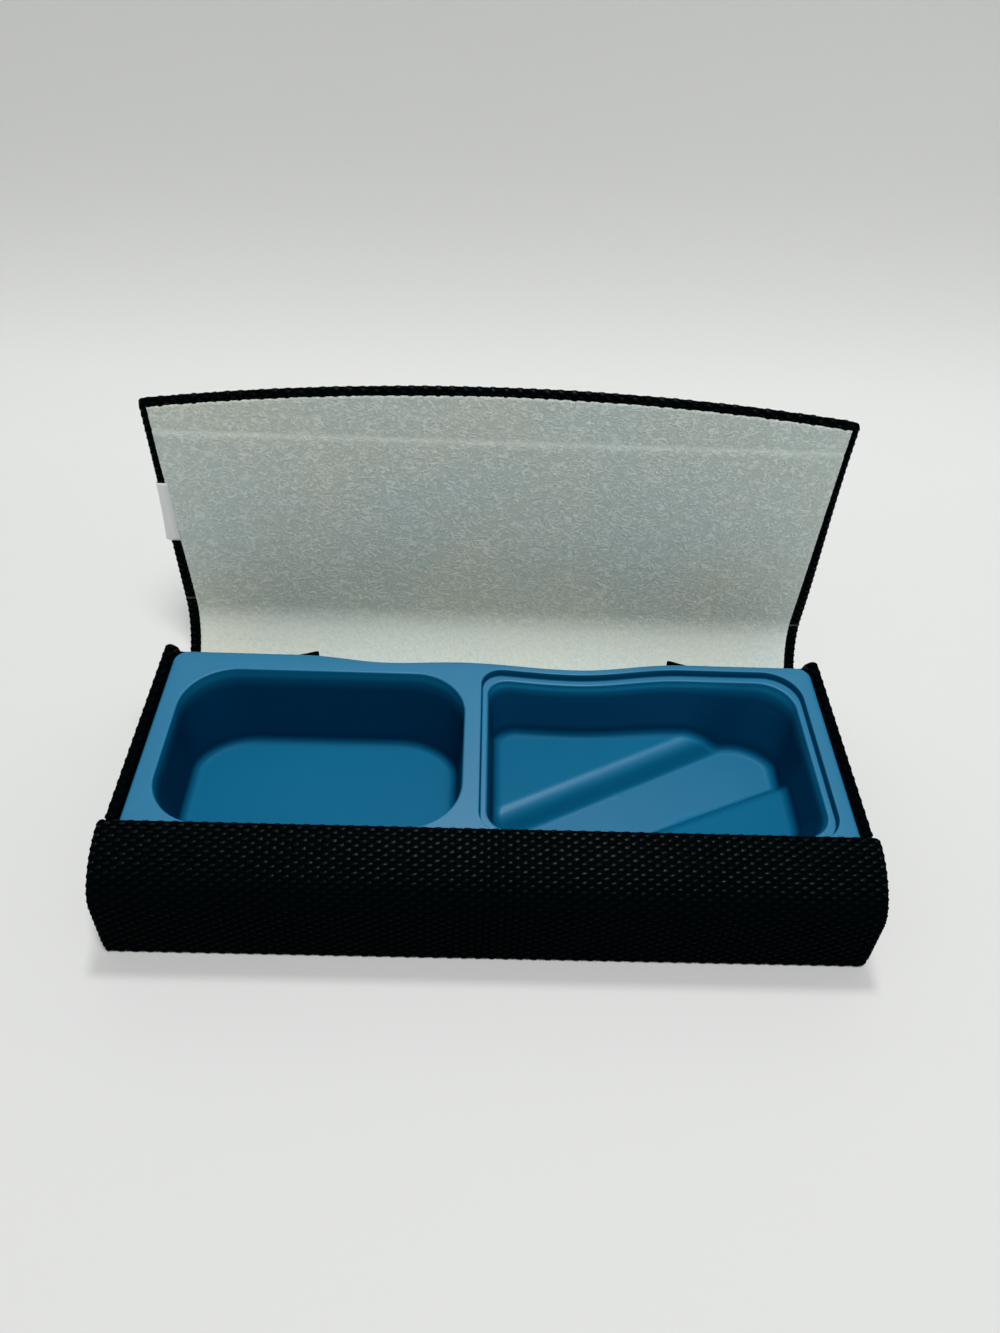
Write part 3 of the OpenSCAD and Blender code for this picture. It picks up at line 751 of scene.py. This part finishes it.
# Moulded tray: rings of points from its edge over each rim and down to the floors
tray = {
    "edgeRound": 0.45 * mm,
    "cornerRadius": 3.0 * mm,
    "wall": 0.9 * mm,
    "barX": -4.2 * mm,
    "barHalf": 1.5 * mm,
    "draft": 1.2 * mm,
    "rimShade": 0.3,
    "leftLean": (3.9 * mm, 0),  # how much more the rear wall and the right wall lean in
    "rightLean": (5.4 * mm, 1.5 * mm),
    "spread": (0.4 * mm, 0.8 * mm),  # the ends press into the end panels
    "leftFlange": {"end": 3.1 * mm, "rear": 4.8 * mm, "front": 3.0 * mm},
    "leftRadii": (11.5 * mm, 11.5 * mm, 11.5 * mm, 11.5 * mm),
    "leftRim": 0.4 * mm,
    "leftFloorRadii": (14.5 * mm, 14.5 * mm, 14.5 * mm, 14.5 * mm),
    "leftFloorRound": 1.8 * mm,
    "leftFloor": 2.9 * mm,
    "rightFlange": {"end": 2.1 * mm, "rear": 1.6 * mm, "front": 2.8 * mm},
    "ledge": {"end": 1.2 * mm, "rear": 1.5 * mm, "front": 1.4 * mm},
    "ledgeDrop": 1.7 * mm,
    "stepShape": (  # how far in, what share of the drop, how deep in shade
        (-0.12, 0, 0),
        (0, 0, 0),
        (0.08, 0.06, 0),
        (0.14, 0.2, 0.6),
        (0.26, 0.8, 0.9),
        (0.34, 0.95, 0.8),
        (0.46, 1, 0.2),
        (0.6, 1, 0),
    ),
    "rightRadii": (8.0 * mm, 5.0 * mm, 5.0 * mm, 6.0 * mm),  # from the rear right corner round
    "rightRim": 0.5 * mm,
    "rightFloorRadii": (11.5 * mm, 7.5 * mm, 7.5 * mm, 9.5 * mm),
    "rightFloorRound": 2.0 * mm,
    "troughFloor": 3.9 * mm,
    "rearLand": 8.9 * mm,
    "frontLand": 8.6 * mm,
    "rearCrest": {"turn": 27.5, "x": -1.5 * mm, "fromFront": 14.8 * mm},
    "frontFoot": {"turn": 24, "x": 33 * mm, "fromFront": 14.9 * mm},
    "slopeWidth": 4.2 * mm,
    # painted shade on the pockets' floors and trough, 0 unshaded to 1 darkest, carried by the 'shadow'
    # attribute like rimShade and stepShape's last column
    "leftShade": 0.25,
    "troughShade": 0.13,
    "slopeShade": 0.24,
    "rearLandShade": 0.3,
    "frontLandShade": 0.34,
    "overlap": 0.12 * mm,  # of a ring on the flat beside it
    "wallShares": (0.06, 0.125, 0.25, 0.375, 0.5, 0.625, 0.75, 0.875),
    "merge": 0.001 * mm,
    "leastRadius": 0.05 * mm,
    "cornerSteps": 14,
    "sideSteps": 60,
    "endSteps": 40,
    "roundSteps": 8,
    "floorRings": 40,
}
fingerDips = ((-42, 0), (-23, 1.7), (-7, 1), (18, 2.5), (42, 0))  # along the rear edge, in mm


def eased(t):
    return (1 - math.cos(math.pi * min(max(t, 0), 1))) / 2


def rearDip(x):
    for (x0, d0), (x1, d1) in zip(fingerDips, fingerDips[1:]):
        if x0 <= x / mm <= x1:
            t = (x / mm - x0) / (x1 - x0)
            return (d0 + (d1 - d0) * eased(t)) * mm
    return 0


def drawnIn(point):
    middle = (trayLow.y + trayHigh.y) / 2
    return point[0], point[1] - rearDip(point[0]) * eased((point[1] - middle) / (trayHigh.y - middle))


def roundedRing(box, radii, inset, dipped, lean=(0, 0)):
    left, front, right, rear = box[0] + inset, box[1] + inset, box[2] - inset, box[3] - inset
    r = [max(radius - inset, tray["leastRadius"]) for radius in radii]
    centres = (
        (right - r[0], rear - r[0]),
        (left + r[1], rear - r[1]),
        (left + r[2], front + r[2]),
        (right - r[3], front + r[3]),
    )
    points = []
    for quarter, (cx, cy) in enumerate(centres):
        for i in range(tray["cornerSteps"] + 1):
            turn = math.pi / 2 * (quarter + i / tray["cornerSteps"])
            points.append((cx + r[quarter] * math.cos(turn), cy + r[quarter] * math.sin(turn)))
        after = (quarter + 1) % 4
        nx, ny = centres[after]
        start = math.pi / 2 * (quarter + 1)
        here, there = points[-1], (nx + r[after] * math.cos(start), ny + r[after] * math.sin(start))
        count = tray["sideSteps"] if quarter % 2 == 0 else tray["endSteps"]
        for i in range(1, count):
            points.append(tuple(a + (b - a) * i / count for a, b in zip(here, there)))
    middleX, middleY = (box[0] + box[2]) / 2, (box[1] + box[3]) / 2
    rearShare = [eased((y - middleY) / (box[3] - middleY)) for x, y in points]
    endShare = [eased((x - middleX) / (box[2] - middleX)) for x, y in points]
    points = [(x - lean[1] * e, y - lean[0] * r) for (x, y), r, e in zip(points, rearShare, endShare)]
    return [drawnIn(p) for p in points] if dipped else points


def pastLine(line, x, y):
    turn = math.radians(line["turn"])
    return (x - line["x"]) * math.sin(turn) - (y - trayLow.y - line["fromFront"]) * math.cos(turn)


def troughPlace(x, y):  # whether the rear slope of the trough is the nearer, and how far up the slope
    rearClimb = 1 - pastLine(tray["rearCrest"], x, y) / tray["slopeWidth"]
    frontClimb = pastLine(tray["frontFoot"], x, y) / tray["slopeWidth"]
    return rearClimb > frontClimb, max(rearClimb, frontClimb)


def rightFloor(x, y):
    atRear, climb = troughPlace(x, y)
    land = tray["rearLand"] if atRear else tray["frontLand"]
    climb = min(max(climb, 0), 1)
    return tray["troughFloor"] + (land - tray["troughFloor"]) * math.sin(math.pi / 2 * climb**1.15)


def leftFloor(x, y):
    return tray["leftFloor"]


# painted light and shade across the trough: shaded floor and slopes, unshaded crests that take the painted
# sheen, shaded lands behind them
def rightShade(x, y):
    atRear, climb = troughPlace(x, y)
    side = tray["troughShade"] + tray["slopeShade"] * smoothStep(0, 0.2, climb)
    land = tray["rearLandShade"] * smoothStep(0.95, 1.35, climb) if atRear else tray["frontLandShade"]
    up = smoothStep(0.35, 0.75, climb)
    return side * (1 - up) + land * up


def leftShade(x, y):
    return tray["leftShade"]


def pocketRings(box, radii, floorRadii, rim, floorRound, lean, top, floorAt, shadeAt, dipped):
    rings = []
    quarter = [math.pi / 2 * i / tray["roundSteps"] for i in range(tray["roundSteps"] + 1)]
    rounding = [(rim * math.sin(a), rim * (1 - math.cos(a))) for a in quarter]
    for inset, drop in [(-tray["overlap"], 0)] + rounding:
        # painted shade growing over the rim's rounding, dimming its sheen
        shade = tray["rimShade"] * min(3 * drop / rim, 1)
        rings.append([(x, y, top - drop, shade) for x, y in roundedRing(box, radii, inset, dipped)])
    foot = rim + tray["draft"]
    edge = roundedRing(box, floorRadii, foot + floorRound, dipped, lean)
    floorEdge = [floorAt(x, y) for x, y in edge]
    for share in tray["wallShares"]:
        between = [a + (b - a) * share for a, b in zip(radii, floorRadii)]
        leaning = [share * much for much in lean]
        points = roundedRing(box, between, rim + tray["draft"] * share, dipped, leaning)
        high = top - rim
        # painted shade, full a sixth of the way down each wall
        shade = min(share * 6, 1)
        heights = [high + (z + floorRound - high) * share for z in floorEdge]
        rings.append([(x, y, z, shade) for (x, y), z in zip(points, heights)])
    for a in quarter:
        points = roundedRing(box, floorRadii, foot + floorRound * (1 - math.cos(a)), dipped, lean)
        drop = floorRound * (1 - math.sin(a))
        way = a / math.pi * 2
        # painted shade easing from the wall's to the floor's
        shades = [1 + (shadeAt(x, y) - 1) * way for x, y in points]
        rings.append([(x, y, z + drop, shade) for (x, y), z, shade in zip(points, floorEdge, shades)])
    middleX = sum(p[0] for p in edge) / len(edge)
    middleY = sum(p[1] for p in edge) / len(edge)
    for i in range(1, tray["floorRings"]):
        share = i / tray["floorRings"]
        inner = [(x + (middleX - x) * share, y + (middleY - y) * share) for x, y in edge]
        rings.append([(x, y, floorAt(x, y), shadeAt(x, y)) for x, y in inner])
    return rings


def ringSkin(bm, rings, closeMiddle):
    count = len(rings[0])
    skin = flatGrid(count + 1, len(rings))
    shadow = skin.verts.layers.float.new("shadow")
    for vert in skin.verts:
        x, y, z, shade = rings[vert.index // (count + 1)][vert.index % (count + 1) % count]
        vert.co = (x, y, z)
        vert[shadow] = shade
    bmesh.ops.remove_doubles(skin, verts=skin.verts, dist=tray["merge"])
    if closeMiddle:
        middle = Vector(rings[-1][0][:3])
        spread = max((Vector(p[:3]) - middle).length for p in rings[-1]) + 0.1 * mm
        inner = [e for e in skin.edges if e.is_boundary]
        inner = [e for e in inner if all((v.co - middle).length <= spread for v in e.verts)]
        bmesh.ops.edgeloop_fill(skin, edges=inner)
    held = bpy.data.meshes.new("skin")
    skin.to_mesh(held)
    skin.free()
    bm.from_mesh(held)
    bpy.data.meshes.remove(held)


def makeTray():
    bm = bmesh.new()
    bm.verts.layers.float.new("shadow")
    top = trayHigh.z
    outline = (trayLow.x - tray["spread"][0], trayLow.y, trayHigh.x + tray["spread"][1], trayHigh.y)
    corners, edge = [tray["cornerRadius"]] * 4, tray["edgeRound"]
    turns = [math.pi / 2 * i / tray["roundSteps"] for i in range(tray["roundSteps"] + 1)]
    rounding = [(edge * (1 - math.cos(turn)), edge * (1 - math.sin(turn))) for turn in turns]
    edgeRings = []
    for inset, drop in rounding + [(edge + tray["overlap"], 0)]:
        edgeRings.append([(x, y, top - drop, 0) for x, y in roundedRing(outline, corners, inset, True)])
    ringSkin(bm, edgeRings, False)
    leftFlange, rightFlange, ledge = tray["leftFlange"], tray["rightFlange"], tray["ledge"]
    leftBox = (
        trayLow.x + leftFlange["end"],
        trayLow.y + leftFlange["front"],
        tray["barX"] - tray["barHalf"],
        trayHigh.y - leftFlange["rear"],
    )
    form = [tray["left" + key] for key in ("Radii", "FloorRadii", "Rim", "FloorRound", "Lean")]
    ringSkin(bm, pocketRings(leftBox, *form, top, leftFloor, leftShade, False), True)
    ledgeBox = (
        tray["barX"] + tray["barHalf"],
        trayLow.y + rightFlange["front"],
        trayHigh.x - rightFlange["end"],
        trayHigh.y - rightFlange["rear"],
    )
    rightBox = (
        ledgeBox[0] + ledge["end"],
        ledgeBox[1] + ledge["front"],
        ledgeBox[2] - ledge["end"],
        ledgeBox[3] - ledge["rear"],
    )
    ledgeTop = top - tray["ledgeDrop"]
    stepRings = []
    for inset, drop, shade in tray["stepShape"]:
        points = roundedRing(ledgeBox, tray["rightRadii"], inset * mm, True)
        stepRings.append([(x, y, top - tray["ledgeDrop"] * drop, shade) for x, y in points])
    form = [tray["right" + key] for key in ("Radii", "FloorRadii", "Rim", "FloorRound", "Lean")]
    ringSkin(bm, stepRings + pocketRings(rightBox, *form, ledgeTop, rightFloor, rightShade, True), True)
    bmesh.ops.remove_doubles(bm, verts=bm.verts, dist=tray["merge"])
    flat = [e for e in bm.edges if e.is_boundary and all(abs(v.co.z - top) < tray["merge"] for v in e.verts)]
    bmesh.ops.triangle_fill(bm, use_beauty=True, use_dissolve=False, edges=flat, normal=(0, 0, 1))
    bmesh.ops.recalc_face_normals(bm, faces=bm.faces)
    upward = sum(f.normal.z * f.calc_area() for f in bm.faces)
    if upward < 0:
        bmesh.ops.reverse_faces(bm, faces=bm.faces)
    made = newObject("moulded_tray", bm, trayPlastic)
    shell = made.modifiers.new("wall", "SOLIDIFY")
    shell.thickness = tray["wall"]
    shell.offset = -1
    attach(made, "base")
    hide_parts("tray")
    print("moulded_tray", len(made.data.polygons), "faces")


makeTray()

# Edge tag: a bare ribbon folded round the lid's left edge, a little loose at its lower end
ribbon = {"leg": 2.4 * mm, "loose": 0.8 * mm, "snug": 0.08 * mm, "thickness": 0.2 * mm}
ribbon.update({"over": 0.06 * mm, "raise": 0.4 * mm, "longer": 0.5 * mm, "rows": 30, "turns": 12})


def makeTag():
    path = []
    half = halfSheet + ribbon["over"]
    middleY = lidY - halfSheet
    steps = ribbon["turns"]
    path.append((ribbon["leg"], -half, 0))
    for i in range(steps + 1):
        turn = math.pi * i / steps
        path.append((half * 0.5 * (1 - math.sin(turn)), -half * math.cos(turn), math.sin(turn)))
    path.append((ribbon["leg"], half, 0))
    bm = flatGrid(len(path), ribbon["rows"] + 1)
    for vert in bm.verts:
        inset, y, out = path[vert.index % len(path)]
        share = vert.index // len(path) / ribbon["rows"]
        loose = ribbon["snug"] + ribbon["loose"] * (1 - share) ** 1.5
        height = (tagHigh.z - tagLow.z + ribbon["longer"]) * share
        vert.co = (-lidHalf + inset - out * loose, middleY + y, tagLow.z + ribbon["raise"] + height)
    bmesh.ops.recalc_face_normals(bm, faces=bm.faces)
    made = newObject("edge_ribbon", bm, tagRibbon)
    thick = made.modifiers.new("ribbon", "SOLIDIFY")
    thick.thickness = ribbon["thickness"]
    thick.offset = 0
    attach(made, "lid")
    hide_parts("edge_tag")


makeTag()
print("edge ribbon made")

# Floor with a sweep behind, light and camera
studio = {
    "sweepStart": 0.13,
    "sweepRadius": 0.12,
    "width": 3.0,
    "front": -1.2,
    "height": 0.3,
    "sweepSteps": 24,
    "floorColour": (0.782, 0.792, 0.78),
    "lamps": {  # place, width and power of each lamp
        "nearLamp": ((0.1, -0.26, 0.97), 0.3, 5.3),
        "farLamp": ((0.02, 0.36, 0.98), 0.16, 3.1),
    },
    "horizon": 0.25,  # light from the pale walls of the room
    "overhead": 0.18,
}


def makeFloor():
    bm = bmesh.new()
    profile = [(studio["front"], 0.0)]
    steps = studio["sweepSteps"]
    for i in range(steps + 1):
        turn = math.pi / 2 * i / steps
        profile.append((
            studio["sweepStart"] + studio["sweepRadius"] * math.sin(turn),
            studio["sweepRadius"] * (1 - math.cos(turn)),
        ))
    profile.append((profile[-1][0], studio["height"]))
    verts = [bm.verts.new((-studio["width"] / 2, y, z)) for y, z in profile]
    edges = [bm.edges.new(pair) for pair in zip(verts, verts[1:])]
    drawn = bmesh.ops.extrude_edge_only(bm, edges=edges)
    moved = [g for g in drawn["geom"] if isinstance(g, bmesh.types.BMVert)]
    bmesh.ops.translate(bm, verts=moved, vec=(studio["width"], 0, 0))
    bmesh.ops.recalc_face_normals(bm, faces=bm.faces)
    paper, tree, shader = nodeMaterial("palePaper", Roughness=0.9, Specular_IOR_Level=0.1)
    shader.inputs["Base Color"].default_value = (*studio["floorColour"], 1)
    floor = newObject("studio_sweep", bm, paper)


makeFloor()

for name, (place, size, power) in studio["lamps"].items():
    lamp = bpy.data.lights.new(name, "AREA")
    lamp.shape = "DISK"
    lamp.size = size
    lamp.energy = power
    lampObject = bpy.data.objects.new(name, lamp)
    lampObject.location = place
    lampObject.rotation_euler = Vector(place).to_track_quat("Z", "Y").to_euler()
    bpy.context.scene.collection.objects.link(lampObject)

world = bpy.data.worlds.new("room")
world.use_nodes = True
room = world.node_tree
aim = addNode(room, "ShaderNodeTexCoord")
split = addNode(room, "ShaderNodeSeparateXYZ")
room.links.new(aim.outputs["Generated"], split.inputs["Vector"])
walls = ramp(room, split.outputs["Z"], [(0.25, (studio["horizon"],) * 3), (0.5, (studio["overhead"],) * 3)])
room.links.new(walls.outputs["Color"], room.nodes["Background"].inputs["Color"])
bpy.context.scene.world = world

viewer = {"place": (-3.89 * mm, -134.72 * mm, 172.36 * mm), "yaw": -1.96, "pitch": 44.72, "roll": 2.97}
viewer.update({"focalPixels": 983.35, "imageHeight": 1333.0, "sensor": 36.0})
camera = bpy.data.cameras.new("camera")
camera.sensor_width = viewer["sensor"]
camera.lens = viewer["sensor"] * viewer["focalPixels"] / viewer["imageHeight"]
camera.clip_start = 0.01
cameraObject = bpy.data.objects.new("camera", camera)
turn = Matrix.Rotation(math.radians(viewer["yaw"]), 4, "Z")
turn = turn @ Matrix.Rotation(math.radians(90 - viewer["pitch"]), 4, "X")
turn = turn @ Matrix.Rotation(math.radians(viewer["roll"]), 4, "Z")
cameraObject.matrix_world = Matrix.Translation(viewer["place"]) @ turn
bpy.context.scene.collection.objects.link(cameraObject)
bpy.context.scene.camera = cameraObject
bpy.context.scene.view_settings.view_transform = "Standard"
